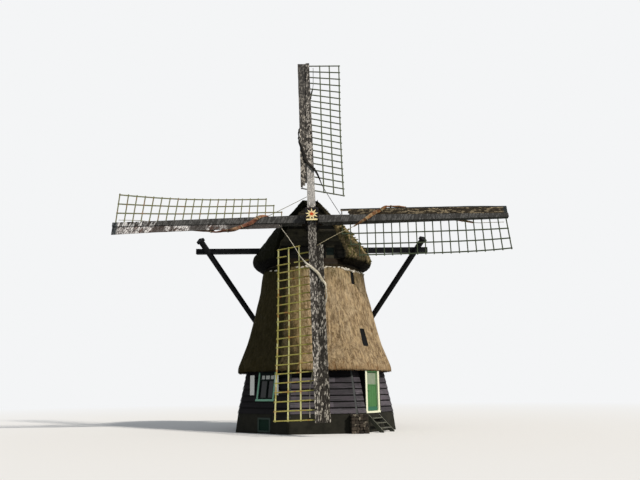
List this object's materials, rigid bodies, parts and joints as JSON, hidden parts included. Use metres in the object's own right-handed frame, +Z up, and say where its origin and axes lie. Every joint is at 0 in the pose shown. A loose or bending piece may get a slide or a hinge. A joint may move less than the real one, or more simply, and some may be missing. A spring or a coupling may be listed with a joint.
{
  "type": "traditional windmill",
  "caption": "Octagonal thatched polder windmill with boarded base, turning cap, tail braces and common sails with furled cloths.",
  "frame": {"origin": "middle of the octagonal body at ground level", "axes": "+Z up, sails face -Y, tail towards +Y"},
  "size_m": [18.8004, 13.4722, 18.9095],
  "materials": {
    "plinth_tar": "tarred brick, matt",
    "brick": "weathered brick and mortar",
    "floor_boards": "bare boards",
    "tarred_boards": "tarred weatherboards",
    "corner_boards": "tarred boards",
    "thatch": "weathered reed",
    "cap_thatch": "mossy reed",
    "dark_glass": "old window glass",
    "pale_timber": "peeling pale paint",
    "cream_paint": "painted timber",
    "green_paint": "painted timber",
    "white_paint": "painted timber",
    "iron": "tarred cast iron",
    "step_wood": "weathered boards",
    "dark_timber": "old sawn timber",
    "tarred_timber": "tarred timber",
    "stock_tar": "tarred timber with pale flakes",
    "yellow_paint": "painted sheet",
    "lattice_wood": "weathered laths",
    "board_tar": "tarred boards with pale flakes",
    "sailcloth": "tanned canvas"
  },
  "bodies": {
    "tower": {"plinth": "plinth_tar", "footing": "brick", "ground_floor": "floor_boards", "board_walls": "tarred_boards", "back_door_side_wall": "tarred_boards", "window_wall_front": "tarred_boards", "window_wall_back": "tarred_boards", "door_wall_left": "tarred_boards", "door_wall_right": "tarred_boards", "door_wall_below": "tarred_boards", "corner_boards": "corner_boards", "thatch_front_and_sides": "thatch", "thatch_between": "thatch", "slit_windows": "dark_glass", "curb": "pale_timber", "door_frame": "cream_paint", "hinge_pins": "iron", "door_cheeks": "tarred_boards", "window_frames": "green_paint", "window_glass": "dark_glass", "plaques": "white_paint", "low_hatch_frame": "white_paint", "low_hatch_panel": "green_paint", "step_treads": "step_wood", "step_stringers": "step_wood", "brick_pier": "brick"},
    "door": {"door_leaf": "green_paint", "door_glass": "dark_glass"},
    "cap": {"cap_thatch_left": "cap_thatch", "cap_thatch_right": "cap_thatch", "cap_gable": "tarred_boards", "cap_hatch": "tarred_boards", "cap_ring": "dark_timber", "cap_side_beams": "dark_timber", "weather_beam": "dark_timber", "neck_bearing": "brick", "tail_bearing_beam": "dark_timber", "long_cross_beam": "tarred_timber", "short_cross_beam": "tarred_timber", "tail_beam": "tarred_timber", "long_braces": "tarred_timber", "short_braces": "tarred_timber", "capstan_wheel": "tarred_timber"},
    "sails": {"windshaft": "iron", "outer_stock": "stock_tar", "inner_stock": "stock_tar", "poll_star": "yellow_paint", "lattice_one": "lattice_wood", "lattice_two": "lattice_wood", "lattice_three": "lattice_wood", "lattice_four": "lattice_wood", "wind_boards": "board_tar", "sailcloth_one": "sailcloth", "sailcloth_two": "sailcloth", "sailcloth_three": "sailcloth", "sailcloth_four": "sailcloth"}
  },
  "joints": [
    {"name": "door_swing", "type": "hinge", "parent": "tower", "child": "door", "pos_m": [2.8343, -1.93382, 0.88], "axis": [0, 0, -1], "range_deg": [0, 95]},
    {"name": "cap_turn", "type": "hinge", "parent": "tower", "child": "cap", "pos_m": [0, 0, 7.72], "axis": [0, 0, 1], "continuous": true},
    {"name": "sail_turn", "type": "hinge", "parent": "cap", "child": "sails", "pos_m": [0, -3.2, 9.7105], "axis": [0, -0.9763, 0.2164], "continuous": true}
  ]
}
